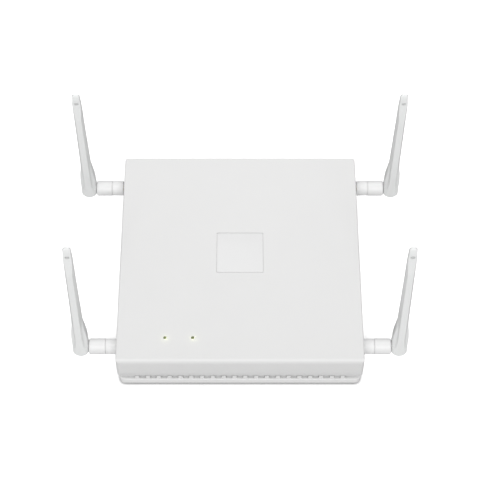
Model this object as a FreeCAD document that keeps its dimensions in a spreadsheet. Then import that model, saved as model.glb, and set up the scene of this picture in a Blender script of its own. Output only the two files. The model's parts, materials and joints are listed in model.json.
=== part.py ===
import FreeCAD, Part

import math
import os

import Sketcher
from FreeCAD import Placement, Rotation, Vector

# A square wireless access point with four hinged antennas, in millimetres.
# Origin: middle of the footprint at the level it rests on. +Z is up, -Y is the front (status
# lights), +Y is the rear (ports), +X is the right-hand side.

DIMENSIONS = {
    # housing outline
    "body_width": 205.0,
    "body_top": 42.0,
    "foot_height": 0.6,
    "front_roll": 4.2,
    "edge_round": 1.2,
    "corner_round": 3.0,
    # the cover's wall is straight down to curve_level, then curves in to its lower lip
    "curve_level": 24.0,
    "lip_level": 13.5,
    "lip_inset": 1.8,
    "cover_wall": 3.3,
    "cover_roof": 2.4,
    # how far one feature reaches into the next, so that they join as one solid
    "overlap": 0.4,
    # base tray: a shoulder below the vents and an upstand that reaches up inside the cover
    "tray_inset": 1.3,
    "tray_corner": 4.0,
    "tray_bottom_round": 0.8,
    "tray_top_round": 1.0,
    "tray_floor": 2.2,
    "shoulder_level": 8.0,
    "upstand_level": 16.0,
    "upstand_gap": 0.6,
    "upstand_wall": 1.6,
    # vents: arches in the cover's lip over dome-topped ribs on the upstand
    "vent_pitch": 9.07,
    "front_vents": 20,
    "side_vents": 13,
    "arch_width": 7.3,
    "arch_rise": 1.6,
    "rib_width": 3.6,
    "rib_level": 12.3,
    "rib_depth": 1.6,
    "slot_width": 4.0,
    "slot_low": 8.8,
    "slot_high": 12.8,
    # rear port panel
    "panel_width": 92.0,
    "panel_level": 26.4,
    "panel_gap": 0.4,
    "lan_near_x": -8.0,
    "lan_far_x": 12.0,
    "lan_width": 16.0,
    "lan_height": 13.4,
    "lan_length": 21.3,
    "lan_opening": 11.9,
    "lan_opening_low": 3.4,
    "lan_opening_high": 10.4,
    "lan_opening_depth": 14.0,
    "latch_width": 6.2,
    "latch_low": 1.6,
    "port_gap": 0.2,
    "port_setback": 0.2,
    "power_x": -31.0,
    "power_width": 9.0,
    "power_height": 11.0,
    "power_length": 14.0,
    "power_bore": 6.4,
    "power_bore_depth": 9.5,
    "power_pin": 2.0,
    "power_pin_setback": 1.0,
    "power_rise": 6.4,
    "reset_x": 32.0,
    "reset_rise": 4.0,
    "reset_diameter": 3.2,
    "reset_clearance": 0.16,
    "reset_travel": 1.0,
    "reset_flange": 4.8,
    "reset_flange_thickness": 1.0,
    "reset_face_round": 0.4,
    "reset_stem": 2.0,
    "reset_stem_entry": 0.2,
    "switch_setback": 7.7,
    "switch_width": 7.0,
    "switch_height": 7.0,
    "switch_depth": 4.0,
    # screws and posts
    "post_x": 90.0,
    "post_y": 92.0,
    "post_diameter": 7.6,
    "post_level": 7.2,
    "boss_diameter": 9.2,
    "boss_level": 7.0,
    "screw_diameter": 3.0,
    "screw_clearance": 0.4,
    "screw_head": 5.6,
    "screw_head_height": 2.0,
    "screw_head_round": 0.8,
    "recess_arm": 1.7,
    "recess_blade": 0.4,
    "recess_depth": 1.1,
    "counterbore": 6.8,
    "counterbore_level": 4.4,
    "cover_screw_length": 10.0,
    "board_screw_length": 6.0,
    "thread_gap": 0.04,
    # circuit board
    "board_width": 160.0,
    "board_front": 86.0,
    "board_rear": 94.0,
    "board_level": 8.0,
    "board_thickness": 1.6,
    "board_screw_x": 74.0,
    "board_screw_front": 79.0,
    "board_screw_rear": 70.0,
    "board_boss": 7.0,
    # processor stack
    "can_width": 42.0,
    "can_height": 4.0,
    "can_sheet": 0.4,
    "can_round": 1.5,
    "can_y": 0.0,
    "thermal_pad": 36.0,
    "thermal_pad_height": 1.0,
    "thermal_pad_round": 1.0,
    "sink_width": 48.0,
    "sink_base": 2.5,
    "sink_height": 14.0,
    "sink_fin": 1.6,
    "sink_fins": 8,
    # radio cards
    "card_x": 52.0,
    "card_y": 4.0,
    "card_width": 30.0,
    "card_length": 51.0,
    "card_thickness": 1.0,
    "card_rise": 4.2,
    "card_can_height": 2.2,
    "card_can_inset": 2.0,
    "card_can_margin": 9.0,
    "card_gap": 0.1,
    "socket_grip": 3.0,
    "socket_depth": 8.0,
    "socket_height": 6.6,
    # status lights
    "power_light_x": -62.2,
    "link_light_x": -39.2,
    "light_y": -80.0,
    "light_diameter": 2.6,
    "light_gap": 0.1,
    "light_standoff": 0.3,
    "light_collar": 4.6,
    "light_collar_thickness": 1.5,
    "led_width": 3.0,
    "led_height": 1.0,
    # badge
    "badge_width": 39.4,
    "badge_thickness": 0.8,
    "badge_gap": 0.35,
    "badge_y": 3.0,
    "badge_round": 1.2,
    # wall keyholes, feet, label
    "keyhole_spacing": 120.0,
    "keyhole_entry": 8.5,
    "keyhole_slot": 4.4,
    "keyhole_run": 9.0,
    "foot_x": 78.0,
    "foot_y": 78.0,
    "foot_diameter": 13.0,
    "foot_recess": 1.0,
    "foot_round": 0.4,
    "foot_gap": 0.2,
    "label_width": 70.0,
    "label_length": 36.0,
    "label_thickness": 0.15,
    "label_round": 2.0,
    "label_y": -42.0,
    # antenna positions: the connector axis runs along X
    "connector_level": 21.0,
    "front_antenna_y": -77.0,
    "rear_antenna_y": 84.0,
    "front_lean": 5.5,
    "rear_lean": 0.0,
    # how much further off the wall each row's antennas are screwed on than the mean
    "front_standoff": -0.4,
    "rear_standoff": 1.2,
    # threaded jack, measured outwards from the cover's side wall
    "thread_diameter": 6.3,
    "thread_reach": 7.3,
    "jack_hole": 6.5,
    "jack_hex": 8.0,
    "jack_flange": 2.0,
    "jack_tail": 4.0,
    "jack_tail_length": 5.7,
    "jack_bore": 4.7,
    "jack_bore_depth": 5.3,
    "jack_pin": 0.9,
    "jack_pin_length": 4.5,
    "washer_thickness": 0.4,
    "washer_diameter": 9.6,
    "jack_nut_thickness": 1.3,
    # coupling nut
    "nut_start": 0.6,
    "nut_end": 10.4,
    "nut_diameter": 13.2,
    "nut_bore": 6.5,
    "nut_shroud": 10.6,
    "nut_shroud_depth": 1.5,
    "nut_collar_bore": 8.6,
    "nut_collar_depth": 2.8,
    "nut_chamfer": 0.7,
    "nut_grooves": 30,
    "nut_groove": 0.5,
    "grip_start": 2.4,
    "grip_end": 9.2,
    # plug insert
    "plug_start": 3.0,
    "plug_diameter": 4.4,
    "plug_socket": 1.1,
    "plug_socket_depth": 4.4,
    # knuckle and hinge
    "spigot_start": 7.8,
    "spigot_diameter": 8.4,
    "barrel_start": 10.7,
    "barrel_end": 24.7,
    "barrel_diameter": 13.6,
    "barrel_round": 0.9,
    "hinge_reach": 31.5,
    "tongue_root": 2.0,
    "tongue_thickness": 5.6,
    "tongue_radius": 5.0,
    "pin_diameter": 3.0,
    "pin_length": 10.4,
    "pin_gap": 0.1,
    # antenna blade, measured upwards from the hinge axis
    "ear_radius": 6.4,
    "ear_gap": 0.15,
    "ear_chamfer": 1.4,
    "fork_depth": 6.8,
    "blade_cavity_width": 5.0,
    "blade_cavity_depth": 1.5,
    "blade_cavity_low": 11.0,
    "blade_cavity_high": 122.0,
    "radiator_width": 4.4,
    "radiator_thickness": 1.0,
    "radiator_low": 14.0,
    "radiator_high": 118.0,
    "coax_diameter": 1.4,
    "coax_low": 11.5,
    "coax_lap": 2.5,
    # cables from the radio cards to the jacks
    "pigtail_offset": 4.0,
    "pigtail_inset": 3.0,
    "pigtail_rise": 9.0,
    "pigtail_run": 24.0,
    "pigtail_level": 24.0,
}

# The blade's cross-section is a flattened hexagon: height above the hinge, width at the middle,
# width of its flat front and rear faces, and depth from front to rear.
BLADE_SECTIONS = [
    (6.8, 13.2, 9.8, 13.5),
    (16.0, 13.6, 8.2, 13.2),
    (26.0, 12.2, 7.2, 12.8),
    (38.0, 9.6, 6.0, 12.3),
    (60.0, 9.1, 5.2, 11.8),
    (100.0, 7.8, 4.8, 10.8),
    (121.0, 7.0, 4.4, 8.8),
    (131.0, 6.0, 3.6, 7.0),
    (136.0, 3.6, 2.0, 4.0),
]
# Where each row's cables bend, to the side of and behind the housing's middle.
PIGTAIL_BENDS = {"front": (84.0, 30.0), "rear": (60.0, 72.0)}

for index, section in enumerate(BLADE_SECTIONS):
    for word, size in zip(("height", "middle", "flat", "depth"), section):
        DIMENSIONS[f"blade_{word}_{index}"] = size

# Lengths worked out from the sheet's cells, as expressions.
HALF = "dims.body_width / 2"
LIP_HALF = f"({HALF} - dims.lip_inset)"
CURVE_RADIUS = "((dims.curve_level - dims.lip_level) ^ 2 + dims.lip_inset ^ 2) / (2 * dims.lip_inset)"
CAVITY_HALF = f"({HALF} - dims.cover_wall)"
UPSTAND_HALF = f"({CAVITY_HALF} - dims.upstand_gap)"
TRAY_HALF = f"({HALF} - dims.tray_inset)"
FLOOR_LEVEL = "(dims.foot_height + dims.tray_floor)"
ROOF_LEVEL = "(dims.body_top - dims.cover_roof)"
BOARD_TOP = "(dims.board_level + dims.board_thickness)"
PORT_FACE = f"({TRAY_HALF} - dims.port_setback)"
BELOW_LIP = "(dims.lip_level - 1)"

SIDES = {"left": -1, "right": 1}
ROWS = {"front": "dims.front_antenna_y", "rear": "dims.rear_antenna_y"}
CORNERS = [(x, y) for x in (-1, 1) for y in (-1, 1)]

doc = FreeCAD.newDocument("access_point")
dims = doc.addObject("Spreadsheet::Sheet", "dims")
for row, (alias, size) in enumerate(DIMENSIONS.items(), start=1):
    dims.set(f"A{row}", alias)
    dims.set(f"B{row}", str(size))
    dims.setAlias(f"B{row}", alias)
doc.recompute()


def value(expression):
    """The number that an expression of the sheet's cells stands for."""
    return float(dims.evalExpression(expression))


# ---------------------------------------------------------------- sketches and features

def new_body(label):
    body = doc.addObject("PartDesign::Body", label)
    body.Label = label
    return body


def new_sketch(body, role, level="0"):
    """A sketch on the body's own origin plane, moved along the plane's normal to level.

    XY_Plane looks up, YZ_Plane looks to +X and XZ_Plane looks to -Y.
    """
    sketch = body.newObject("Sketcher::SketchObject", body.Name + "_sketch")
    plane = next(item for item in body.Origin.OriginFeatures if item.Role == role)
    sketch.AttachmentSupport = [(plane, "")]
    sketch.MapMode = "FlatFace"
    sketch.setExpression("AttachmentOffset.Base.z", level)
    return sketch


def arc_between(start, end, radius):
    """The short arc from start to end, anticlockwise for a positive radius."""
    chord = end - start
    middle = (start + end) * 0.5
    left = Vector(-chord.y, chord.x, 0).normalize()
    rise = math.sqrt(max(radius ** 2 - (chord.Length / 2) ** 2, 0.0))
    centre = middle + left * math.copysign(rise, radius)
    first, last = (start, end) if radius > 0 else (end, start)
    angles = [math.atan2(point.y - centre.y, point.x - centre.x) for point in (first, last)]
    return Part.ArcOfCircle(Part.Circle(centre, Vector(0, 0, 1), abs(radius)), *angles)


def outline(sketch, corners):
    """A closed outline, anticlockwise. Each corner is (x, y), or (x, y, radius) where the edge
    that leaves it is an arc. Every corner and radius is held by a constraint."""
    points = [Vector(value(corner[0]), value(corner[1]), 0) for corner in corners]
    first = sketch.GeometryCount
    count = len(corners)
    ends = []
    for index, corner in enumerate(corners):
        start = points[index]
        end = points[(index + 1) % count]
        if len(corner) == 2:
            sketch.addGeometry(Part.LineSegment(start, end), False)
            ends.append((1, 2))
            continue
        radius = value(corner[2])
        edge = sketch.addGeometry(arc_between(start, end, radius), False)
        ends.append((1, 2) if radius > 0 else (2, 1))
        bound = sketch.addConstraint(Sketcher.Constraint("Radius", edge, abs(radius)))
        sketch.setExpression(f"Constraints[{bound}]", f"abs({corner[2]})")
    for index in range(count):
        following = (index + 1) % count
        sketch.addConstraint(Sketcher.Constraint(
            "Coincident", first + index, ends[index][1], first + following, ends[following][0]))
    for index, corner in enumerate(corners):
        for direction, expression in (("DistanceX", corner[0]), ("DistanceY", corner[1])):
            bound = sketch.addConstraint(Sketcher.Constraint(
                direction, -1, 1, first + index, ends[index][0], value(expression)))
            sketch.setExpression(f"Constraints[{bound}]", expression)
    return sketch


def rectangle(sketch, low_x, low_y, high_x, high_y):
    return outline(sketch, [(low_x, low_y), (high_x, low_y), (high_x, high_y), (low_x, high_y)])


def rounded_rectangle(sketch, half_x, half_y, radius, x="0", y="0"):
    """A rectangle about (x, y) with rounded corners."""
    inner_x = f"({half_x} - ({radius}))"
    inner_y = f"({half_y} - ({radius}))"
    return outline(sketch, [
        (f"{x} - {inner_x}", f"{y} - {half_y}"),
        (f"{x} + {inner_x}", f"{y} - {half_y}", radius),
        (f"{x} + {half_x}", f"{y} - {inner_y}"),
        (f"{x} + {half_x}", f"{y} + {inner_y}", radius),
        (f"{x} + {inner_x}", f"{y} + {half_y}"),
        (f"{x} - {inner_x}", f"{y} + {half_y}", radius),
        (f"{x} - {half_x}", f"{y} + {inner_y}"),
        (f"{x} - {half_x}", f"{y} - {inner_y}", radius),
    ])


def circle(sketch, diameter, x="0", y="0"):
    """A circle about (x, y), held by its diameter and its centre."""
    centre = Vector(value(x), value(y), 0)
    edge = sketch.addGeometry(Part.Circle(centre, Vector(0, 0, 1), value(diameter) / 2), False)
    bound = sketch.addConstraint(Sketcher.Constraint("Diameter", edge, value(diameter)))
    sketch.setExpression(f"Constraints[{bound}]", diameter)
    for direction, expression in (("DistanceX", x), ("DistanceY", y)):
        bound = sketch.addConstraint(
            Sketcher.Constraint(direction, -1, 1, edge, 3, value(expression)))
        sketch.setExpression(f"Constraints[{bound}]", expression)
    return sketch


def hexagon(sketch, across_flats):
    corner = 0.5 / math.cos(math.radians(30))
    return outline(sketch, [
        (f"{across_flats} * {corner * math.cos(math.radians(angle)):.6f}",
         f"{across_flats} * {corner * math.sin(math.radians(angle)):.6f}")
        for angle in range(0, 360, 60)
    ])


def extrude(body, kind, sketch, length, flipped=False, centred=False):
    """A Pad goes along the sketch's normal and a Pocket against it, unless flipped."""
    feature = body.newObject("PartDesign::" + kind, f"{body.Name}_{kind.lower()}")
    feature.Profile = sketch
    feature.setExpression("Length", length)
    feature.Reversed = flipped
    feature.Midplane = centred
    sketch.recompute()
    feature.recompute()
    return feature


def pad(body, sketch, length, **options):
    return extrude(body, "Pad", sketch, length, **options)


def pocket(body, sketch, length, **options):
    before = body.Tip.Shape.Volume
    feature = extrude(body, "Pocket", sketch, length, **options)
    if feature.Shape.Volume >= before:
        raise RuntimeError(f"{feature.Name} cuts nothing")
    return feature


def repeat(body, feature, axis, step, count):
    """A row of copies of a feature along its sketch's own axis."""
    pattern = body.newObject("PartDesign::LinearPattern", body.Name + "_row")
    pattern.Originals = [feature]
    pattern.Direction = (feature.Profile[0], [axis])
    pattern.setExpression("Length", f"{step} * ({count} - 1)")
    pattern.setExpression("Occurrences", count)
    body.Tip = pattern
    pattern.recompute()
    return pattern


def dress(body, kind, size, wanted):
    """A Fillet or Chamfer on every edge of the tip that the test picks."""
    base = body.Tip
    edges = [f"Edge{number}" for number, edge in enumerate(base.Shape.Edges, start=1) if wanted(edge)]
    feature = body.newObject("PartDesign::" + kind, f"{body.Name}_{kind.lower()}")
    feature.Base = (base, edges)
    feature.setExpression("Radius" if kind == "Fillet" else "Size", size)
    feature.recompute()
    return feature


def lies_at(axis, level):
    """Picks the edges that lie wholly in the plane where one coordinate equals level."""
    def test(edge):
        box = edge.BoundBox
        low, high = getattr(box, axis + "Min"), getattr(box, axis + "Max")
        return abs(low - level) < 0.01 and abs(high - level) < 0.01
    return test


def place(piece, x="0", y="0", z="0"):
    for axis, expression in zip("xyz", (x, y, z)):
        piece.setExpression(f"Placement.Base.{axis}", expression)
    return piece


def group(label, members):
    """Identical pieces as one sub-part of separate solids."""
    compound = doc.addObject("Part::Compound", label)
    compound.Label = label
    compound.Links = members
    return compound


def signed(sign, expression):
    return expression if sign > 0 else f"-({expression})"


# ---------------------------------------------------------------- housing shells

def side_outline(sketch, front_round, rear_round):
    """The cover seen from the side: rounded top edges, and walls that curve in at the bottom."""
    return outline(sketch, [
        (f"-{LIP_HALF}", "dims.lip_level"),
        (LIP_HALF, "dims.lip_level", CURVE_RADIUS),
        (HALF, "dims.curve_level"),
        (HALF, f"dims.body_top - {rear_round}", rear_round),
        (f"{HALF} - {rear_round}", "dims.body_top"),
        (f"-({HALF} - {front_round})", "dims.body_top", front_round),
        (f"-({HALF})", f"dims.body_top - {front_round}"),
        (f"-({HALF})", "dims.curve_level", CURVE_RADIUS),
    ])


def frame_outside(sketch, low, high):
    """A square well outside the piece, so that a pocket keeps only what the inner outline holds."""
    return rectangle(sketch, "-dims.body_width", low, "dims.body_width", high)


def arch(sketch, middle):
    """A shallow arch in the cover's lower lip."""
    half = "dims.arch_width / 2"
    radius = f"(({half}) ^ 2 + dims.arch_rise ^ 2) / (2 * dims.arch_rise)"
    return outline(sketch, [
        (f"{middle} - {half}", BELOW_LIP),
        (f"{middle} + {half}", BELOW_LIP),
        (f"{middle} + {half}", "dims.lip_level", radius),
        (f"{middle} - {half}", "dims.lip_level"),
    ])


def first_vent(count):
    return f"-dims.vent_pitch * (dims.{count} - 1) / 2"


def top_cover():
    body = new_body("top_cover")
    profile = side_outline(new_sketch(body, "YZ_Plane"), "dims.front_roll", "dims.edge_round")
    pad(body, profile, "dims.body_width", centred=True)

    sides = new_sketch(body, "XZ_Plane")
    frame_outside(sides, "-dims.body_top", "2 * dims.body_top")
    side_outline(sides, "dims.edge_round", "dims.edge_round")
    pocket(body, sides, "2 * dims.body_width", centred=True)

    corners = new_sketch(body, "XY_Plane")
    frame_outside(corners, "-dims.body_width", "dims.body_width")
    rounded_rectangle(corners, HALF, HALF, "dims.corner_round")
    pocket(body, corners, "dims.body_top", flipped=True)

    cavity = new_sketch(body, "XY_Plane", "dims.lip_level")
    rounded_rectangle(cavity, CAVITY_HALF, CAVITY_HALF, "dims.corner_round")
    pocket(body, cavity, f"{ROOF_LEVEL} - dims.lip_level", flipped=True)

    posts = new_sketch(body, "XY_Plane", "dims.post_level")
    pilots = new_sketch(body, "XY_Plane", "dims.post_level")
    for x, y in CORNERS:
        centre = (signed(x, "dims.post_x"), signed(y, "dims.post_y"))
        circle(posts, "dims.post_diameter", *centre)
        circle(pilots, "dims.screw_diameter + dims.thread_gap", *centre)
    pad(body, posts, f"{ROOF_LEVEL} - dims.post_level + dims.overlap")
    pocket(body, pilots, "dims.cover_screw_length", flipped=True)

    lights = new_sketch(body, "XY_Plane", "dims.body_top")
    for x in ("dims.power_light_x", "dims.link_light_x"):
        circle(lights, "dims.light_diameter + 2 * dims.light_gap", x, "dims.light_y")
    pocket(body, lights, "dims.cover_roof + dims.overlap")

    badge = new_sketch(body, "XY_Plane", "dims.body_top")
    badge_half = "(dims.badge_width / 2 + dims.badge_gap)"
    rounded_rectangle(badge, badge_half, badge_half, "dims.badge_round", y="dims.badge_y")
    pocket(body, badge, "dims.badge_thickness")

    jacks = new_sketch(body, "YZ_Plane")
    for y in ROWS.values():
        circle(jacks, "dims.jack_hole", y, "dims.connector_level")
    pocket(body, jacks, "2 * dims.body_width", centred=True)

    window = new_sketch(body, "XZ_Plane", f"-({HALF})")
    window_half = "(dims.panel_width / 2 + dims.panel_gap)"
    rectangle(window, f"-{window_half}", BELOW_LIP, window_half,
              "dims.panel_level + dims.panel_gap")
    pocket(body, window, "2 * dims.cover_wall", centred=True)

    front = pocket(body, arch(new_sketch(body, "XZ_Plane", HALF), first_vent("front_vents")),
                   "dims.cover_wall + dims.overlap")
    repeat(body, front, "H_Axis", "dims.vent_pitch", "dims.front_vents")
    flank = pocket(body, arch(new_sketch(body, "YZ_Plane"), first_vent("side_vents")),
                   "2 * dims.body_width", centred=True)
    repeat(body, flank, "H_Axis", "dims.vent_pitch", "dims.side_vents")
    return body


def rib(sketch, middle):
    """A dome-topped rib that stands on the tray's shoulder below an arch."""
    radius = "dims.rib_width / 2"
    foot = "dims.shoulder_level - dims.overlap"
    shoulder = f"dims.rib_level - {radius}"
    return outline(sketch, [
        (f"{middle} - {radius}", foot),
        (f"{middle} + {radius}", foot),
        (f"{middle} + {radius}", shoulder, radius),
        (middle, "dims.rib_level", radius),
        (f"{middle} - {radius}", shoulder),
    ])


def slot(sketch, middle):
    """A vent slot through the upstand, between two ribs."""
    half = "dims.slot_width / 2"
    return rectangle(sketch, f"{middle} - {half}", "dims.slot_low", f"{middle} + {half}",
                     "dims.slot_high")


def keyhole(sketch, side):
    """A round entry hole with a narrower slot that runs towards the rear."""
    x = signed(side, "dims.keyhole_spacing / 2")
    entry = "dims.keyhole_entry / 2"
    neck = "dims.keyhole_slot / 2"
    mouth = f"sqrt(({entry}) ^ 2 - ({neck}) ^ 2)"
    return outline(sketch, [
        (f"{x} + {neck}", mouth),
        (f"{x} + {neck}", "dims.keyhole_run", neck),
        (x, f"dims.keyhole_run + {neck}", neck),
        (f"{x} - {neck}", "dims.keyhole_run"),
        (f"{x} - {neck}", mouth, entry),
        (f"{x} - {entry}", "0", entry),
        (x, f"-{entry}", entry),
        (f"{x} + {entry}", "0", entry),
    ])


def base_tray():
    body = new_body("base_tray")
    shoulder = new_sketch(body, "XY_Plane", "dims.foot_height")
    rounded_rectangle(shoulder, TRAY_HALF, TRAY_HALF, "dims.tray_corner")
    pad(body, shoulder, "dims.shoulder_level - dims.foot_height")
    dress(body, "Fillet", "dims.tray_bottom_round", lies_at("Z", value("dims.foot_height")))
    dress(body, "Fillet", "dims.tray_top_round", lies_at("Z", value("dims.shoulder_level")))

    upstand = new_sketch(body, "XY_Plane", "dims.shoulder_level - dims.overlap")
    rounded_rectangle(upstand, UPSTAND_HALF, UPSTAND_HALF, "dims.corner_round")
    pad(body, upstand, "dims.upstand_level - dims.shoulder_level + dims.overlap")

    panel_root = "(dims.shoulder_level - 2 * dims.tray_top_round)"
    panel = new_sketch(body, "XY_Plane", panel_root)
    rectangle(panel, "-dims.panel_width / 2", f"{UPSTAND_HALF} - dims.upstand_wall",
              "dims.panel_width / 2", TRAY_HALF)
    pad(body, panel, f"dims.panel_level - {panel_root}")

    inner_half = f"({UPSTAND_HALF} - dims.upstand_wall)"
    inside = new_sketch(body, "XY_Plane", FLOOR_LEVEL)
    rounded_rectangle(inside, inner_half, inner_half, "dims.corner_round")
    pocket(body, inside, "dims.body_top", flipped=True)

    front_start = first_vent("front_vents")
    side_start = first_vent("side_vents")
    front_slot = pocket(
        body, slot(new_sketch(body, "XZ_Plane", HALF), f"{front_start} + dims.vent_pitch / 2"),
        "2 * dims.cover_wall + dims.upstand_wall")
    repeat(body, front_slot, "H_Axis", "dims.vent_pitch", "dims.front_vents - 1")
    side_slot = pocket(
        body, slot(new_sketch(body, "YZ_Plane"), f"{side_start} + dims.vent_pitch / 2"),
        "2 * dims.body_width", centred=True)
    repeat(body, side_slot, "H_Axis", "dims.vent_pitch", "dims.side_vents - 1")

    rib_root = f"{UPSTAND_HALF} - dims.overlap"
    rib_length = "dims.rib_depth + dims.overlap"
    front_rib = pad(body, rib(new_sketch(body, "XZ_Plane", rib_root), front_start), rib_length)
    repeat(body, front_rib, "H_Axis", "dims.vent_pitch", "dims.front_vents")
    for side in SIDES.values():
        sketch = rib(new_sketch(body, "YZ_Plane", signed(side, rib_root)), side_start)
        side_rib = pad(body, sketch, rib_length, flipped=side < 0)
        repeat(body, side_rib, "H_Axis", "dims.vent_pitch", "dims.side_vents")

    boss_root = f"({FLOOR_LEVEL} - dims.overlap)"
    board_bosses = new_sketch(body, "XY_Plane", boss_root)
    board_pilots = new_sketch(body, "XY_Plane", "dims.board_level")
    for x, y in board_screw_places():
        circle(board_bosses, "dims.board_boss", x, y)
        circle(board_pilots, "dims.screw_diameter + dims.thread_gap", x, y)
    pad(body, board_bosses, f"dims.board_level - {boss_root}")
    pocket(body, board_pilots,
           "dims.board_screw_length - dims.board_thickness + dims.screw_clearance")

    cover_bosses = new_sketch(body, "XY_Plane", boss_root)
    cover_holes = new_sketch(body, "XY_Plane", "dims.boss_level")
    counterbores = new_sketch(body, "XY_Plane", "dims.foot_height")
    foot_recesses = new_sketch(body, "XY_Plane", "dims.foot_height")
    for x, y in CORNERS:
        centre = (signed(x, "dims.post_x"), signed(y, "dims.post_y"))
        circle(cover_bosses, "dims.boss_diameter", *centre)
        circle(cover_holes, "dims.screw_diameter + dims.screw_clearance", *centre)
        circle(counterbores, "dims.counterbore", *centre)
        circle(foot_recesses, "dims.foot_diameter + 2 * dims.foot_gap",
               signed(x, "dims.foot_x"), signed(y, "dims.foot_y"))
    pad(body, cover_bosses, f"dims.boss_level - {boss_root}")
    pocket(body, cover_holes, "dims.boss_level")
    pocket(body, counterbores, "dims.counterbore_level - dims.foot_height", flipped=True)
    pocket(body, foot_recesses, "dims.foot_recess", flipped=True)

    for side in SIDES.values():
        pocket(body, keyhole(new_sketch(body, "XY_Plane", FLOOR_LEVEL), side), "2 * dims.tray_floor")

    ports = new_sketch(body, "XZ_Plane", f"-({HALF})")
    for x in ("dims.lan_near_x", "dims.lan_far_x"):
        half = "(dims.lan_width / 2 + dims.port_gap)"
        rectangle(ports, f"{x} - {half}", f"{BOARD_TOP} - dims.port_gap", f"{x} + {half}",
                  f"{BOARD_TOP} + dims.lan_height + dims.port_gap")
    half = "(dims.power_width / 2 + dims.port_gap)"
    rectangle(ports, f"dims.power_x - {half}", f"{BOARD_TOP} - dims.port_gap",
              f"dims.power_x + {half}", f"{BOARD_TOP} + dims.power_height + dims.port_gap")
    circle(ports, "dims.reset_diameter + dims.reset_clearance", "dims.reset_x",
           f"{BOARD_TOP} + dims.reset_rise")
    pocket(body, ports, "6 * dims.cover_wall", centred=True)
    return body


def badge_plate():
    body = new_body("badge_plate")
    sketch = new_sketch(body, "XY_Plane")
    half = "(dims.badge_width / 2)"
    rounded_rectangle(sketch, half, half, "dims.badge_round - dims.badge_gap")
    pad(body, sketch, "dims.badge_thickness")
    return place(body, y="dims.badge_y", z="dims.body_top - dims.badge_thickness")


def light_pipe(label, x):
    """A clear rod from just above its LED to the cover's top face, with a stop collar."""
    body = new_body(label)
    start = f"({BOARD_TOP} + dims.led_height + dims.light_standoff)"
    pad(body, circle(new_sketch(body, "XY_Plane"), "dims.light_diameter"), f"dims.body_top - {start}")
    collar_level = f"{ROOF_LEVEL} - {start} - dims.light_gap - dims.light_collar_thickness"
    collar = circle(new_sketch(body, "XY_Plane", collar_level), "dims.light_collar")
    pad(body, collar, "dims.light_collar_thickness")
    return place(body, x, "dims.light_y", start)


def status_leds():
    members = []
    for x in ("dims.power_light_x", "dims.link_light_x"):
        led = doc.addObject("Part::Box", "status_led")
        for side in ("Length", "Width"):
            led.setExpression(side, "dims.led_width")
        led.setExpression("Height", "dims.led_height")
        members.append(place(led, f"{x} - dims.led_width / 2", "dims.light_y - dims.led_width / 2",
                             BOARD_TOP))
    return group("status_leds", members)


# ---------------------------------------------------------------- fasteners, feet and label

def screw(name, length):
    """A pan-head screw, head down, with its shank pointing up from the origin."""
    body = new_body(name)
    pad(body, circle(new_sketch(body, "XY_Plane"), "dims.screw_diameter"), length)
    pad(body, circle(new_sketch(body, "XY_Plane"), "dims.screw_head"), "dims.screw_head_height",
        flipped=True)
    dress(body, "Fillet", "dims.screw_head_round", lies_at("Z", -value("dims.screw_head_height")))
    recess = new_sketch(body, "XY_Plane", "-dims.screw_head_height")
    arm = "dims.recess_arm"
    blade = "dims.recess_blade"
    outline(recess, [
        (blade, f"-{blade}"), (arm, f"-{blade}"), (arm, blade), (blade, blade),
        (blade, arm), (f"-{blade}", arm), (f"-{blade}", blade), (f"-{arm}", blade),
        (f"-{arm}", f"-{blade}"), (f"-{blade}", f"-{blade}"), (f"-{blade}", f"-{arm}"),
        (blade, f"-{arm}"),
    ])
    pocket(body, recess, "dims.recess_depth", flipped=True)
    return body


def cover_screws():
    return group("cover_screws", [
        place(screw("cover_screw", "dims.cover_screw_length"), signed(x, "dims.post_x"),
              signed(y, "dims.post_y"), "dims.counterbore_level")
        for x, y in CORNERS
    ])


def board_screw_places():
    rows = ("-dims.board_screw_front", "dims.board_screw_rear")
    return [(signed(x, "dims.board_screw_x"), y) for x in (-1, 1) for y in rows]


def board_screws():
    members = []
    for x, y in board_screw_places():
        member = screw("board_screw", "dims.board_screw_length")
        member.Placement = Placement(Vector(), Rotation(Vector(1, 0, 0), 180))
        members.append(place(member, x, y, BOARD_TOP))
    return group("board_screws", members)


def rubber_feet():
    members = []
    for x, y in CORNERS:
        foot = new_body("rubber_foot")
        pad(foot, circle(new_sketch(foot, "XY_Plane"), "dims.foot_diameter"),
            "dims.foot_height + dims.foot_recess")
        dress(foot, "Fillet", "dims.foot_round", lies_at("Z", 0))
        members.append(place(foot, signed(x, "dims.foot_x"), signed(y, "dims.foot_y")))
    return group("rubber_feet", members)


def rating_label():
    body = new_body("rating_label")
    sketch = new_sketch(body, "XY_Plane")
    rounded_rectangle(sketch, "(dims.label_width / 2)", "(dims.label_length / 2)",
                      "dims.label_round")
    pad(body, sketch, "dims.label_thickness")
    return place(body, y="dims.label_y", z="dims.foot_height - dims.label_thickness")


# ---------------------------------------------------------------- electronics

def main_board():
    body = new_body("main_board")
    sketch = new_sketch(body, "XY_Plane", "dims.board_level")
    rectangle(sketch, "-dims.board_width / 2", "-dims.board_front", "dims.board_width / 2",
              "dims.board_rear")
    for x, y in board_screw_places():
        circle(sketch, "dims.screw_diameter + dims.screw_clearance", x, y)
    pad(body, sketch, "dims.board_thickness")
    return body


def shield_can():
    """A drawn sheet-metal lid, open at the bottom."""
    body = new_body("shield_can")
    half = "(dims.can_width / 2)"
    inner = f"({half} - dims.can_sheet)"
    pad(body, rounded_rectangle(new_sketch(body, "XY_Plane"), half, half, "dims.can_round"),
        "dims.can_height")
    inside = new_sketch(body, "XY_Plane")
    rounded_rectangle(inside, inner, inner, "dims.can_round - dims.can_sheet")
    pocket(body, inside, "dims.can_height - dims.can_sheet", flipped=True)
    return place(body, y="dims.can_y", z=BOARD_TOP)


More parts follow.
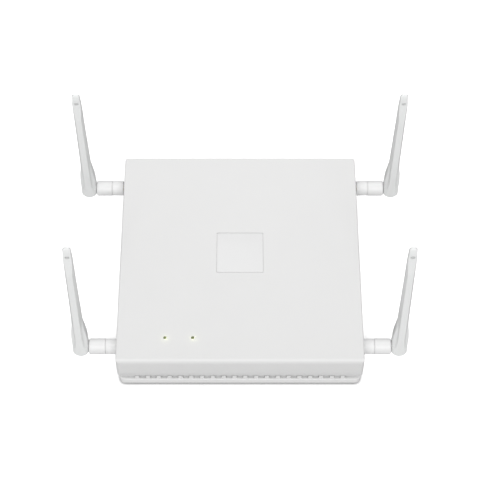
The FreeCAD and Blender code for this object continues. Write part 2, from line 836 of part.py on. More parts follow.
def thermal_pad():
    body = new_body("thermal_pad")
    half = "(dims.thermal_pad / 2)"
    sketch = rounded_rectangle(new_sketch(body, "XY_Plane"), half, half, "dims.thermal_pad_round")
    pad(body, sketch, "dims.thermal_pad_height")
    return place(body, y="dims.can_y", z=f"{BOARD_TOP} + dims.can_height")


def heatsink():
    body = new_body("heatsink")
    half = "(dims.sink_width / 2)"
    pad(body, rectangle(new_sketch(body, "XY_Plane"), f"-{half}", f"-{half}", half, half),
        "dims.sink_base")
    fin_sketch = new_sketch(body, "XY_Plane", "dims.sink_base - dims.overlap")
    rectangle(fin_sketch, f"-{half}", f"-{half}", f"-{half} + dims.sink_fin", half)
    fin = pad(body, fin_sketch, "dims.sink_height - dims.sink_base + dims.overlap")
    step = "(dims.sink_width - dims.sink_fin) / (dims.sink_fins - 1)"
    repeat(body, fin, "H_Axis", step, "dims.sink_fins")
    return place(body, y="dims.can_y", z=f"{BOARD_TOP} + dims.can_height + dims.thermal_pad_height")


def radio_card(name, side):
    """A small card with a shield on top, held above the main board by its socket."""
    body = new_body("radio_card_" + name)
    half = "(dims.card_width / 2)"
    pad(body, rectangle(new_sketch(body, "XY_Plane"), f"-{half}", "0", half, "dims.card_length"),
        "dims.card_thickness")
    lid = new_sketch(body, "XY_Plane", "dims.card_thickness - dims.overlap")
    rectangle(lid, f"-{half} + dims.card_can_inset", "dims.card_can_margin",
              f"{half} - dims.card_can_inset", "dims.card_length - dims.card_can_margin")
    pad(body, lid, "dims.card_can_height + dims.overlap")
    return place(body, signed(side, "dims.card_x"), "dims.card_y",
                 f"{BOARD_TOP} + dims.card_rise")


def card_sockets():
    """Edge sockets, each with a slot that holds the end of a radio card."""
    members = []
    for side in SIDES.values():
        body = new_body("card_socket")
        half = "(dims.card_width / 2)"
        block = rectangle(new_sketch(body, "XY_Plane"), f"-{half}",
                          "dims.socket_grip - dims.socket_depth", half, "dims.socket_grip")
        pad(body, block, "dims.socket_height")
        mouth = new_sketch(body, "XZ_Plane", "-dims.socket_grip")
        rectangle(mouth, "-dims.card_width", "dims.card_rise - dims.card_gap", "dims.card_width",
                  "dims.card_rise + dims.card_thickness + dims.card_gap")
        pocket(body, mouth, "dims.socket_grip + dims.card_gap", flipped=True)
        members.append(place(body, signed(side, "dims.card_x"), "dims.card_y", BOARD_TOP))
    return group("card_sockets", members)


def lan_jacks():
    """Network jacks: a shielded box with a plug opening and a latch notch."""
    members = []
    for x in ("dims.lan_near_x", "dims.lan_far_x"):
        body = new_body("lan_jack")
        half = "(dims.lan_width / 2)"
        pad(body, rectangle(new_sketch(body, "XZ_Plane"), f"-{half}", "0", half, "dims.lan_height"),
            "dims.lan_length")
        wide = "(dims.lan_opening / 2)"
        narrow = "(dims.latch_width / 2)"
        floor = "dims.lan_opening_low"
        mouth = outline(new_sketch(body, "XZ_Plane"), [
            (f"-{narrow}", "dims.latch_low"), (narrow, "dims.latch_low"),
            (narrow, floor), (wide, floor),
            (wide, "dims.lan_opening_high"), (f"-{wide}", "dims.lan_opening_high"),
            (f"-{wide}", floor), (f"-{narrow}", floor),
        ])
        pocket(body, mouth, "dims.lan_opening_depth", flipped=True)
        members.append(place(body, x, PORT_FACE, BOARD_TOP))
    return group("lan_jacks", members)


def power_jack():
    body = new_body("power_jack")
    half = "(dims.power_width / 2)"
    pad(body, rectangle(new_sketch(body, "XZ_Plane"), f"-{half}", "0", half, "dims.power_height"),
        "dims.power_length")
    pocket(body, circle(new_sketch(body, "XZ_Plane"), "dims.power_bore", "0", "dims.power_rise"),
           "dims.power_bore_depth", flipped=True)
    contact = circle(new_sketch(body, "XZ_Plane", "dims.power_pin_setback"), "dims.power_pin", "0",
                     "dims.power_rise")
    pad(body, contact, "dims.power_bore_depth - dims.power_pin_setback + dims.overlap")
    return place(body, "dims.power_x", PORT_FACE, BOARD_TOP)


def reset_switch():
    """The switch housing, with a well that the button's stem works in."""
    body = new_body("reset_switch")
    half = "dims.switch_width / 2"
    pad(body, rectangle(new_sketch(body, "XZ_Plane"), f"-{half}", "0", half, "dims.switch_height"),
        "dims.switch_depth")
    well = circle(new_sketch(body, "XZ_Plane"), "dims.reset_stem + dims.reset_clearance", "0",
                  "dims.reset_rise")
    pocket(body, well, "2 * dims.reset_travel", flipped=True)
    return place(body, "dims.reset_x", f"{PORT_FACE} - dims.switch_setback", BOARD_TOP)


def reset_button():
    """A recessed push button: face, stop flange behind the panel, and stem."""
    body = new_body("reset_button")
    panel_back = f"({TRAY_HALF} - {UPSTAND_HALF} + dims.upstand_wall - dims.port_setback)"
    pad(body, circle(new_sketch(body, "XZ_Plane"), "dims.reset_diameter"),
        f"{panel_back} + dims.overlap")
    flange_level = f"{panel_back} + dims.reset_clearance / 2"
    flange = circle(new_sketch(body, "XZ_Plane", flange_level), "dims.reset_flange")
    pad(body, flange, "dims.reset_flange_thickness")
    stem = circle(new_sketch(body, "XZ_Plane", panel_back), "dims.reset_stem")
    pad(body, stem, f"dims.switch_setback + dims.reset_stem_entry - {panel_back}")
    dress(body, "Fillet", "dims.reset_face_round", lies_at("Y", 0))
    return place(body, "dims.reset_x", PORT_FACE, f"{BOARD_TOP} + dims.reset_rise")


# ---------------------------------------------------------------- antenna connectors

def seat(side, row):
    """Where an antenna's connector leaves the side wall: local +X points outwards."""
    return Placement(Vector(side * value(HALF), value(ROWS[row]), value("dims.connector_level")),
                     Rotation(Vector(0, 0, 1), 0 if side > 0 else 180))


def nut_seat(side, row):
    """Where the antenna's own plug starts: a little off the seat, as far as it's screwed on."""
    return seat(side, row).multiply(Placement(Vector(value(f"dims.{row}_standoff"), 0, 0), Rotation()))


def leaning_seat(side, row):
    """The plug's seat, turned about the connector axis so that the antenna leans to the rear."""
    lean = Placement(Vector(), Rotation(Vector(1, 0, 0), -side * value(f"dims.{row}_lean")))
    return nut_seat(side, row).multiply(lean)


def hinge_seat(side, row, turn=0):
    """The middle of the hinge, turned about the blade's own length."""
    offset = Placement(Vector(value("dims.hinge_reach"), 0, 0), Rotation(Vector(0, 0, 1), turn))
    return leaning_seat(side, row).multiply(offset)


def antenna_jack(label):
    """A threaded bulkhead jack: hex flange and tail inside the wall, thread and pin outside."""
    body = new_body(label)
    start = "-dims.cover_wall - dims.jack_flange"
    pad(body, circle(new_sketch(body, "YZ_Plane", start), "dims.thread_diameter"),
        "dims.cover_wall + dims.jack_flange + dims.thread_reach")
    pad(body, hexagon(new_sketch(body, "YZ_Plane", start), "dims.jack_hex"), "dims.jack_flange")
    tail = new_sketch(body, "YZ_Plane", f"{start} - dims.jack_tail_length")
    pad(body, circle(tail, "dims.jack_tail"), "dims.jack_tail_length + dims.overlap")
    pocket(body, circle(new_sketch(body, "YZ_Plane", "dims.thread_reach"), "dims.jack_bore"),
           "dims.jack_bore_depth")
    floor = "dims.thread_reach - dims.jack_bore_depth"
    pad(body, circle(new_sketch(body, "YZ_Plane", f"{floor} - dims.overlap"), "dims.jack_pin"),
        "dims.jack_pin_length + dims.overlap")
    return body


def jack_washer():
    body = new_body("jack_washer")
    sketch = circle(new_sketch(body, "YZ_Plane"), "dims.washer_diameter")
    circle(sketch, "dims.jack_hole")
    pad(body, sketch, "dims.washer_thickness")
    return body


def jack_nut():
    body = new_body("jack_nut")
    sketch = hexagon(new_sketch(body, "YZ_Plane", "dims.washer_thickness"), "dims.jack_hex")
    circle(sketch, "dims.thread_diameter + 2 * dims.thread_gap")
    pad(body, sketch, "dims.jack_nut_thickness")
    return body


def coupling_nut(label):
    """The nut that pulls the antenna onto its jack, with a finely grooved grip."""
    body = new_body(label)
    length = "dims.nut_end - dims.nut_start"
    pad(body, circle(new_sketch(body, "YZ_Plane", "dims.nut_start"), "dims.nut_diameter"), length)
    dress(body, "Chamfer", "dims.nut_chamfer", lies_at("X", value("dims.nut_start")))
    pocket(body, circle(new_sketch(body, "YZ_Plane", "dims.nut_end"), "dims.nut_bore"), length)
    pocket(body, circle(new_sketch(body, "YZ_Plane", "dims.nut_start"), "dims.nut_shroud"),
           "dims.nut_shroud_depth", flipped=True)
    pocket(body, circle(new_sketch(body, "YZ_Plane", "dims.nut_end"), "dims.nut_collar_bore"),
           "dims.nut_collar_depth")
    groove_sketch = new_sketch(body, "YZ_Plane", "dims.grip_end")
    circle(groove_sketch, "dims.nut_groove", "0", "dims.nut_diameter / 2")
    groove = pocket(body, groove_sketch, "dims.grip_end - dims.grip_start")
    grip = body.newObject("PartDesign::PolarPattern", body.Name + "_grip")
    grip.Originals = [groove]
    grip.Axis = (groove_sketch, ["N_Axis"])
    grip.Angle = 360
    grip.setExpression("Occurrences", "dims.nut_grooves")
    body.Tip = grip
    return body


def plug_insert(label):
    """The antenna plug's insulator and contact socket, which slide over the jack's pin."""
    body = new_body(label)
    pad(body, circle(new_sketch(body, "YZ_Plane", "dims.plug_start"), "dims.plug_diameter"),
        "dims.spigot_start - dims.plug_start")
    pocket(body, circle(new_sketch(body, "YZ_Plane", "dims.plug_start"), "dims.plug_socket"),
           "dims.plug_socket_depth", flipped=True)
    return body


def knuckle(label):
    """The swivel: a spigot inside the coupling nut, a barrel, and the hinge's tongue."""
    body = new_body(label)
    pad(body, circle(new_sketch(body, "YZ_Plane", "dims.barrel_start"), "dims.barrel_diameter"),
        "dims.barrel_end - dims.barrel_start")
    ends = (lies_at("X", value("dims.barrel_start")), lies_at("X", value("dims.barrel_end")))
    dress(body, "Fillet", "dims.barrel_round", lambda edge: ends[0](edge) or ends[1](edge))
    pad(body, circle(new_sketch(body, "YZ_Plane", "dims.spigot_start"), "dims.spigot_diameter"),
        "dims.barrel_start - dims.spigot_start + dims.overlap")
    root = "dims.barrel_end - dims.tongue_root"
    radius = "dims.tongue_radius"
    tongue = outline(new_sketch(body, "XZ_Plane"), [
        (root, f"-{radius}"),
        ("dims.hinge_reach", f"-{radius}", radius),
        (f"dims.hinge_reach + {radius}", "0", radius),
        ("dims.hinge_reach", radius),
        (root, radius),
    ])
    pad(body, tongue, "dims.tongue_thickness", centred=True)
    pocket(body, circle(new_sketch(body, "XZ_Plane"), "dims.pin_diameter", "dims.hinge_reach"),
           "dims.barrel_diameter", centred=True)
    return body


def hinge_pin(label):
    body = new_body(label)
    pad(body, circle(new_sketch(body, "XZ_Plane"), "dims.pin_diameter"), "dims.pin_length",
        centred=True)
    return body


def blade_shell(label):
    """Half of the blade, split along its length: an ear at the hinge and a tapered half-hexagon."""
    body = new_body(label)
    loft = body.newObject("PartDesign::AdditiveLoft", label + "_loft")
    sections = []
    for index in range(len(BLADE_SECTIONS)):
        middle, flat, depth = (f"dims.blade_{word}_{index} / 2" for word in ("middle", "flat", "depth"))
        sketch = new_sketch(body, "XY_Plane", f"dims.blade_height_{index}")
        outline(sketch, [(f"-{flat}", f"-{depth}"), (flat, f"-{depth}"), (middle, "0"),
                         (f"-{middle}", "0")])
        sketch.recompute()
        sections.append(sketch)
    loft.Profile = sections[0]
    loft.Sections = sections[1:]
    loft.Ruled = True
    loft.recompute()
    body.Tip = loft

    ear_face = "dims.tongue_thickness / 2 + dims.ear_gap"
    radius = "dims.ear_radius"
    ear = outline(new_sketch(body, "XZ_Plane", ear_face), [
        (f"-{radius}", "dims.fork_depth + dims.overlap"),
        (f"-{radius}", "0", radius),
        ("0", f"-{radius}", radius),
        (radius, "0"),
        (radius, "dims.fork_depth + dims.overlap"),
    ])
    pad(body, ear, f"dims.blade_depth_0 / 2 - ({ear_face})")
    outer_face = lies_at("Y", -value("dims.blade_depth_0") / 2)
    dress(body, "Chamfer", "dims.ear_chamfer",
          lambda edge: outer_face(edge) and edge.BoundBox.ZMin < 0.1)
    pin_hole = circle(new_sketch(body, "XZ_Plane"), "dims.pin_diameter + dims.pin_gap")
    pocket(body, pin_hole, "dims.pin_length / 2 + dims.pin_gap", flipped=True)

    half = "dims.blade_cavity_width / 2"
    cavity = new_sketch(body, "XZ_Plane")
    rectangle(cavity, f"-{half}", "dims.blade_cavity_low", half, "dims.blade_cavity_high")
    pocket(body, cavity, "dims.blade_cavity_depth", flipped=True)
    return body


def radiator(label):
    """The thin radiating strip inside the blade, with the end of its coaxial feed."""
    body = new_body(label)
    half = "dims.radiator_width / 2"
    strip = rectangle(new_sketch(body, "XZ_Plane"), f"-{half}", "dims.radiator_low", half,
                      "dims.radiator_high")
    pad(body, strip, "dims.radiator_thickness", centred=True)
    feed = circle(new_sketch(body, "XY_Plane", "dims.coax_low"), "dims.coax_diameter")
    pad(body, feed, "dims.radiator_low - dims.coax_low + dims.coax_lap")
    return body


def pigtail(label, side, row):
    """A thin coaxial cable from a radio card's edge to the tail of an antenna jack."""
    outwards = 1 if row == "front" else -1
    start = Vector(side * value(f"dims.card_x + {outwards} * dims.pigtail_offset"),
                   value("dims.card_y + dims.card_length - dims.pigtail_inset"),
                   value(f"{BOARD_TOP} + dims.card_rise + dims.card_thickness + dims.card_gap"))
    tail = value("dims.cover_wall + dims.jack_flange + dims.jack_tail_length + dims.card_gap")
    end = seat(side, row).multVec(Vector(-tail, 0, 0))
    bend_x, bend_y = PIGTAIL_BENDS[row]
    bend = Vector(side * bend_x, bend_y, value("dims.pigtail_level"))
    above = start + Vector(0, 0, value("dims.pigtail_rise"))
    before = end - Vector(side * value("dims.pigtail_run"), 0, 0)
    curve = Part.BezierCurve()
    curve.setPoles([start, above, bend, before, end])
    radius = value("dims.coax_diameter") / 2
    profile = Part.Wire([Part.makeCircle(radius, start, Vector(0, 0, 1))])
    cable = doc.addObject("Part::Feature", label)
    cable.Label = label
    cable.Shape = Part.Wire([curve.toShape()]).makePipeShell([profile], True, False)
    return cable


# ---------------------------------------------------------------- assembly

parts = [
    top_cover(),
    base_tray(),
    badge_plate(),
    light_pipe("power_light_pipe", "dims.power_light_x"),
    light_pipe("link_light_pipe", "dims.link_light_x"),
    status_leds(),
    cover_screws(),
    board_screws(),
    rubber_feet(),
    rating_label(),
    main_board(),
    shield_can(),
    thermal_pad(),
    heatsink(),
    radio_card("left", SIDES["left"]),
    radio_card("right", SIDES["right"]),
    card_sockets(),
    lan_jacks(),
    power_jack(),
    reset_switch(),
    reset_button(),
]

washers = []
nuts = []
for side_name, side in SIDES.items():
    for row in ROWS:
        where = f"{row}_{side_name}"
        fixed = seat(side, row)
        leaning = leaning_seat(side, row)
        placed = [
            (antenna_jack("antenna_jack_" + where), fixed),
            (coupling_nut("coupling_nut_" + where), nut_seat(side, row)),
            (plug_insert("plug_insert_" + where), leaning),
            (knuckle("knuckle_" + where), leaning),
            (hinge_pin("hinge_pin_" + where), hinge_seat(side, row)),
            (blade_shell("blade_front_" + where), hinge_seat(side, row, 0 if side > 0 else 180)),
            (blade_shell("blade_rear_" + where), hinge_seat(side, row, 180 if side > 0 else 0)),
            (radiator("radiator_" + where), hinge_seat(side, row)),
        ]
        for piece, placement in placed:
            piece.Placement = placement
            parts.append(piece)
        for pieces, make in ((washers, jack_washer), (nuts, jack_nut)):
            piece = make()
            piece.Placement = fixed
            pieces.append(piece)
        parts.append(pigtail("pigtail_" + where, side, row))
parts.append(group("jack_washers", washers))
parts.append(group("jack_nuts", nuts))

doc.recompute()
failed = [item.Name for item in doc.Objects if {"Invalid", "Error"} & set(item.State)]
if failed:
    raise RuntimeError(f"these did not compute: {failed}")
for part in parts:
    if part.Shape.isNull() or not part.Shape.isValid():
        raise RuntimeError(f"{part.Label} has no valid shape")

os.makedirs("parts", exist_ok=True)
for part in parts:
    part.Shape.exportStep(f"parts/{part.Label}.step")
print(f"{len(parts)} sub-parts written")
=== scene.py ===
import json
import math

import bmesh
import bpy
from mathutils import Matrix, Vector


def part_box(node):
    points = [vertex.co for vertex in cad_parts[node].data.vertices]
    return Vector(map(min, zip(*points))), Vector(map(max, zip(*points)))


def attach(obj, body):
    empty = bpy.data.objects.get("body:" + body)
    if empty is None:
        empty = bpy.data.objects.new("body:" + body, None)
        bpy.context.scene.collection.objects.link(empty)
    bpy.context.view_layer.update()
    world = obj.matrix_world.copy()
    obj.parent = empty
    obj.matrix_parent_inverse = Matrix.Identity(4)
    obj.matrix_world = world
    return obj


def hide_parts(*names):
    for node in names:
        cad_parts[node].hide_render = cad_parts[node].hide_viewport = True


# A white square access point with four hinged antennas. The housing shells and the electronics
# are the frame's own nodes with finished materials; the antennas, nuts, badge, lenses and feet
# are built here. Places are in metres, in the frame's own coordinates. The sizes of the built
# pieces are in millimetres and are scaled by MM when their points are made.

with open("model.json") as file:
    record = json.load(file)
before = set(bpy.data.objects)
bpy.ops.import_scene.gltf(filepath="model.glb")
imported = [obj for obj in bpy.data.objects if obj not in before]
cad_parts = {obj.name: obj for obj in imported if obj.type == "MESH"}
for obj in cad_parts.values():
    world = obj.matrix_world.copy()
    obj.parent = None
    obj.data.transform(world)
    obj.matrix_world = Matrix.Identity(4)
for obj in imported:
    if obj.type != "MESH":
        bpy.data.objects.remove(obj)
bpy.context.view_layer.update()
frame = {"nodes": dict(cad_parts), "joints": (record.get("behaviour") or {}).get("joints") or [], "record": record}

MM = 0.001
# how far the painted crevice shade looks for faces close by
PAINTED_SHADE_REACH = 4 * MM
WHERES = [f"{row}_{side}" for side in ("left", "right") for row in ("front", "rear")]
JOINTS = {joint["name"]: joint for joint in frame["joints"]}


# ---------------------------------------------------------------- materials

def new_material(name):
    """An empty node material with a Principled shader, ready for wiring."""
    material = bpy.data.materials.new(name)
    material.use_nodes = True
    nodes = material.node_tree.nodes
    return material, nodes, material.node_tree.links, nodes["Principled BSDF"]


def noise(nodes, links, size, detail=2.0, roughness=0.5):
    """A noise texture in object space whose features are about size metres across."""
    place = nodes.new("ShaderNodeTexCoord")
    texture = nodes.new("ShaderNodeTexNoise")
    texture.inputs["Scale"].default_value = 1.0 / size
    texture.inputs["Detail"].default_value = detail
    texture.inputs["Roughness"].default_value = roughness
    links.new(place.outputs["Object"], texture.inputs["Vector"])
    return texture


def remap(nodes, links, source, low, high, start=0.0, end=1.0):
    """A map-range node from start..end to low..high."""
    node = nodes.new("ShaderNodeMapRange")
    node.inputs["From Min"].default_value = start
    node.inputs["From Max"].default_value = end
    node.inputs["To Min"].default_value = low
    node.inputs["To Max"].default_value = high
    links.new(source, node.inputs["Value"])
    return node.outputs["Result"]


def tint(nodes, links, shader, color, factor_source, spread, painted_crevice_shade=1.0):
    """Base colour that drifts between a darker and a lighter tone of color. Where neighbouring
    faces close in, painted shade darkens it towards the given factor times that tone."""
    mix = nodes.new("ShaderNodeMix")
    mix.data_type = "RGBA"
    mix.inputs["A"].default_value = (*[c * (1 - spread) for c in color], 1)
    mix.inputs["B"].default_value = (*[min(1.0, c * (1 + spread)) for c in color], 1)
    links.new(factor_source, mix.inputs["Factor"])
    if painted_crevice_shade == 1.0:
        links.new(mix.outputs["Result"], shader.inputs["Base Color"])
        return
    # painted shade: the colour darkens where other faces stand close by
    shade_lookup = nodes.new("ShaderNodeAmbientOcclusion")
    shade_lookup.samples = 6
    shade_lookup.inputs["Distance"].default_value = PAINTED_SHADE_REACH
    shade = nodes.new("ShaderNodeVectorMath")
    shade.operation = "SCALE"
    links.new(mix.outputs["Result"], shade.inputs["Vector"])
    links.new(remap(nodes, links, shade_lookup.outputs["AO"], painted_crevice_shade, 1.0), shade.inputs["Scale"])
    links.new(shade.outputs["Vector"], shader.inputs["Base Color"])


def bump(nodes, links, shader, height, distance):
    """Relief on a shader: a height of 1 stands distance metres above a height of 0."""
    node = nodes.new("ShaderNodeBump")
    node.inputs["Distance"].default_value = distance
    node.inputs["Strength"].default_value = 1.0
    links.new(height, node.inputs["Height"])
    links.new(node.outputs["Normal"], shader.inputs["Normal"])


def moulded_plastic(name, color, roughness=0.42, grain=0.35 * MM, depth=0.012 * MM, spread=0.012,
                    painted_crevice_shade=1.0):
    """Injection-moulded plastic: fine spark-eroded grain and faint flow mottling, with optional painted shade
    darkening its creases and recesses.
    """
    material, nodes, links, shader = new_material(name)
    mottling = noise(nodes, links, 60 * MM, detail=3.0)
    tint(nodes, links, shader, color, mottling.outputs["Fac"], spread, painted_crevice_shade)
    grain_noise = noise(nodes, links, grain, detail=4.0, roughness=0.65)
    handling = noise(nodes, links, 18 * MM, detail=2.0)
    links.new(remap(nodes, links, handling.outputs["Fac"], roughness - 0.05, roughness + 0.05),
              shader.inputs["Roughness"])
    bump(nodes, links, shader, grain_noise.outputs["Fac"], depth)
    return material


def metal(name, color, roughness, brushed=(1.0, 1.0, 14.0), depth=0.006 * MM):
    """Metal with a drawn or brushed lay along one axis."""
    material, nodes, links, shader = new_material(name)
    shader.inputs["Metallic"].default_value = 1.0
    place = nodes.new("ShaderNodeTexCoord")
    stretch = nodes.new("ShaderNodeMapping")
    stretch.inputs["Scale"].default_value = brushed
    lay = nodes.new("ShaderNodeTexNoise")
    lay.inputs["Scale"].default_value = 1.0 / (1.2 * MM)
    lay.inputs["Detail"].default_value = 3.0
    links.new(place.outputs["Object"], stretch.inputs["Vector"])
    links.new(stretch.outputs["Vector"], lay.inputs["Vector"])
    tint(nodes, links, shader, color, lay.outputs["Fac"], 0.06)
    links.new(remap(nodes, links, lay.outputs["Fac"], roughness - 0.08, roughness + 0.1),
              shader.inputs["Roughness"])
    bump(nodes, links, shader, lay.outputs["Fac"], depth)
    return material


def circuit_laminate(name, color, trace_color):
    """Solder mask over copper: faint lighter traces on a grid, glossy."""
    material, nodes, links, shader = new_material(name)
    place = nodes.new("ShaderNodeTexCoord")
    traces = nodes.new("ShaderNodeTexBrick")
    traces.inputs["Scale"].default_value = 1.0 / (9 * MM)
    traces.inputs["Mortar Size"].default_value = 0.03
    traces.inputs["Color1"].default_value = (*color, 1)
    traces.inputs["Color2"].default_value = (*[c * 1.15 for c in color], 1)
    traces.inputs["Mortar"].default_value = (*trace_color, 1)
    links.new(place.outputs["Object"], traces.inputs["Vector"])
    links.new(traces.outputs["Color"], shader.inputs["Base Color"])
    bump(nodes, links, shader, traces.outputs["Fac"], 0.02 * MM)
    shader.inputs["Roughness"].default_value = 0.28
    return material


def soft_rubber(name, color):
    """Matte rubber with a coarse dry grain."""
    material, nodes, links, shader = new_material(name)
    grain = noise(nodes, links, 0.8 * MM, detail=5.0, roughness=0.7)
    tint(nodes, links, shader, color, grain.outputs["Fac"], 0.08)
    bump(nodes, links, shader, grain.outputs["Fac"], 0.03 * MM)
    shader.inputs["Roughness"].default_value = 0.85
    return material


def lit_lens(name, color, glow):
    """A frosted light pipe: dark and clear in the middle, with a faint glow towards its rim."""
    material, nodes, links, shader = new_material(name)
    facing = nodes.new("ShaderNodeLayerWeight")
    facing.inputs["Blend"].default_value = 0.35
    frost = noise(nodes, links, 0.5 * MM)
    tint(nodes, links, shader, color, frost.outputs["Fac"], 0.05)
    shader.inputs["Roughness"].default_value = 0.25
    shader.inputs["Transmission Weight"].default_value = 0.15
    shader.inputs["Emission Color"].default_value = (*color, 1)
    links.new(remap(nodes, links, facing.outputs["Facing"], glow * 0.3, glow),
              shader.inputs["Emission Strength"])
    bump(nodes, links, shader, frost.outputs["Fac"], 0.01 * MM)
    return material


WHITE = (0.80, 0.80, 0.797)
MATERIALS = {
    "cover_plastic": moulded_plastic("cover_plastic", WHITE),
    # the tray carries strong painted shade in its vents, under the lip and in other creases
    "tray_plastic": moulded_plastic("tray_plastic", (0.89, 0.89, 0.887), roughness=0.46,
                                    painted_crevice_shade=0.42),
    "badge_plastic": moulded_plastic("badge_plastic", (0.80, 0.80, 0.80), roughness=0.3,
                                     depth=0.004 * MM),
    "light_lens": lit_lens("light_lens", (0.135, 0.155, 0.075), 0.5),
    "led": lit_lens("led", (0.5, 0.75, 0.2), 1.0),
    "screw_steel": metal("screw_steel", (0.62, 0.62, 0.64), 0.32),
    "foot_rubber": soft_rubber("foot_rubber", (0.30, 0.30, 0.31)),
    "label_film": moulded_plastic("label_film", (0.86, 0.86, 0.84), roughness=0.6, grain=0.15 * MM,
                                  depth=0.003 * MM),
    "board_laminate": circuit_laminate("board_laminate", (0.02, 0.14, 0.06), (0.05, 0.26, 0.12)),
    "shield_tin": metal("shield_tin", (0.68, 0.68, 0.69), 0.3, brushed=(12.0, 1.0, 1.0)),
    "thermal_pad": soft_rubber("thermal_pad", (0.35, 0.45, 0.60)),
    "heatsink_aluminium": metal("heatsink_aluminium", (0.72, 0.72, 0.74), 0.35,
                                brushed=(14.0, 1.0, 1.0)),
    "card_laminate": circuit_laminate("card_laminate", (0.02, 0.09, 0.18), (0.06, 0.2, 0.34)),
    "socket_plastic": moulded_plastic("socket_plastic", (0.03, 0.03, 0.03), roughness=0.5),
    "jack_shell": metal("jack_shell", (0.70, 0.70, 0.71), 0.26, brushed=(1.0, 12.0, 1.0)),
    "jack_plastic": moulded_plastic("jack_plastic", (0.025, 0.025, 0.027), roughness=0.45),
    "button_plastic": moulded_plastic("button_plastic", (0.12, 0.12, 0.125), roughness=0.5),
    "jack_brass": metal("jack_brass", (0.86, 0.66, 0.30), 0.24, brushed=(1.0, 8.0, 8.0)),
    "nut_steel": metal("nut_steel", (0.74, 0.74, 0.75), 0.2, brushed=(1.0, 6.0, 6.0)),
    "cable_jacket": moulded_plastic("cable_jacket", (0.04, 0.04, 0.04), roughness=0.4),
    "nut_plastic": moulded_plastic("nut_plastic", (0.88, 0.88, 0.88), roughness=0.38),
    "knuckle_plastic": moulded_plastic("knuckle_plastic", (0.86, 0.86, 0.86), roughness=0.40),
    # the blades carry painted shade where their faces close in
    "blade_plastic": moulded_plastic("blade_plastic", (0.89, 0.90, 0.895), roughness=0.34,
                                     spread=0.008, painted_crevice_shade=0.68),
    "insert_plastic": moulded_plastic("insert_plastic", (0.85, 0.84, 0.80), roughness=0.3),
    "pin_steel": metal("pin_steel", (0.60, 0.60, 0.62), 0.3, brushed=(1.0, 10.0, 1.0)),
    "radiator_laminate": circuit_laminate("radiator_laminate", (0.42, 0.20, 0.06),
                                          (0.72, 0.40, 0.16)),
}
NODE_SLOT = {part["node"]: part["material_slot"] for part in frame["record"]["subparts"]}


def finish_cad_nodes():
    """Every carried-over CAD node gets its own material and smooth shading on its curves. The
    weighted normals keep the big flat faces flat right up to their rounded edges."""
    for name, node in frame["nodes"].items():
        node.data.materials.clear()
        node.data.materials.append(MATERIALS[NODE_SLOT[name]])
        node.data.shade_smooth()
        node.data.set_sharp_from_angle(angle=math.radians(32))
        flat_faces = node.modifiers.new("flat_faces", "WEIGHTED_NORMAL")
        flat_faces.keep_sharp = True


# ---------------------------------------------------------------- mesh helpers

def build(name, vertices, faces, slot, body, replaces, sharp=32, matrix=None):
    """A piece from plain vertices and faces: merged, outward-facing, smooth-shaded and placed."""
    work = bmesh.new()
    made = [work.verts.new(vertex) for vertex in vertices]
    for face in faces:
        corners = []
        for index in face:
            if made[index] not in corners:
                corners.append(made[index])
        if len(corners) > 2:
            work.faces.new(corners)
    bmesh.ops.remove_doubles(work, verts=work.verts, dist=0.002 * MM)
    bmesh.ops.recalc_face_normals(work, faces=work.faces)
    mesh = bpy.data.meshes.new(name)
    work.to_mesh(mesh)
    work.free()
    if matrix is not None:
        mesh.transform(matrix)
    mesh.materials.append(MATERIALS[slot])
    mesh.shade_smooth()
    mesh.set_sharp_from_angle(angle=math.radians(sharp))
    piece = bpy.data.objects.new(name, mesh)
    bpy.context.scene.collection.objects.link(piece)
    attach(piece, body)
    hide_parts(*replaces)
    return piece


def skin(rings, cap_start=True, cap_end=True):
    """Vertices and quads over rings of equally many points, with flat ends."""
    count = len(rings[0])
    vertices = [point for ring in rings for point in ring]
    faces = []
    for level in range(len(rings) - 1):
        low = level * count
        for index in range(count):
            following = (index + 1) % count
            faces.append((low + index, low + following, low + count + following,
                          low + count + index))
    if cap_start:
        faces.append(tuple(reversed(range(count))))
    if cap_end:
        last = (len(rings) - 1) * count
        faces.append(tuple(range(last, last + count)))
    return vertices, faces


def smooth_step(value):
    """Eases from 0 to 1 as value goes from 0 to 1, and stays level outside that."""
    value = min(1.0, max(0.0, value))
    return value * value * (3 - 2 * value)


def curved(keys, position):
    """A value on a smooth curve through (position, value) keys."""
    if position <= keys[0][0]:
        return keys[0][1]
    slopes = []
    for index in range(len(keys)):
        before = keys[max(index - 1, 0)]
        after = keys[min(index + 1, len(keys) - 1)]
        slopes.append((after[1] - before[1]) / (after[0] - before[0]))
    for index, ((start, low), (end, high)) in enumerate(zip(keys, keys[1:])):
        if position <= end:
            span = end - start
            share = (position - start) / span
            ease_in = share * share * (3 - 2 * share)
            rise = share * (1 - share) ** 2 * slopes[index] * span
            fall = share * share * (share - 1) * slopes[index + 1] * span
            return low + (high - low) * ease_in + rise + fall
    return keys[-1][1]


def arc_corner(before, corner, after, reach, steps):
    """Points that round a polyline's corner, starting and ending reach away from it."""
    start = corner + (before - corner).normalized() * min(reach, (before - corner).length * 0.45)
    end = corner + (after - corner).normalized() * min(reach, (after - corner).length * 0.45)
    points = []
    for step in range(steps + 1):
        share = step / steps
        points.append(start * (1 - share) ** 2 + corner * 2 * share * (1 - share) + end * share ** 2)
    return points


# ---------------------------------------------------------------- antenna blade

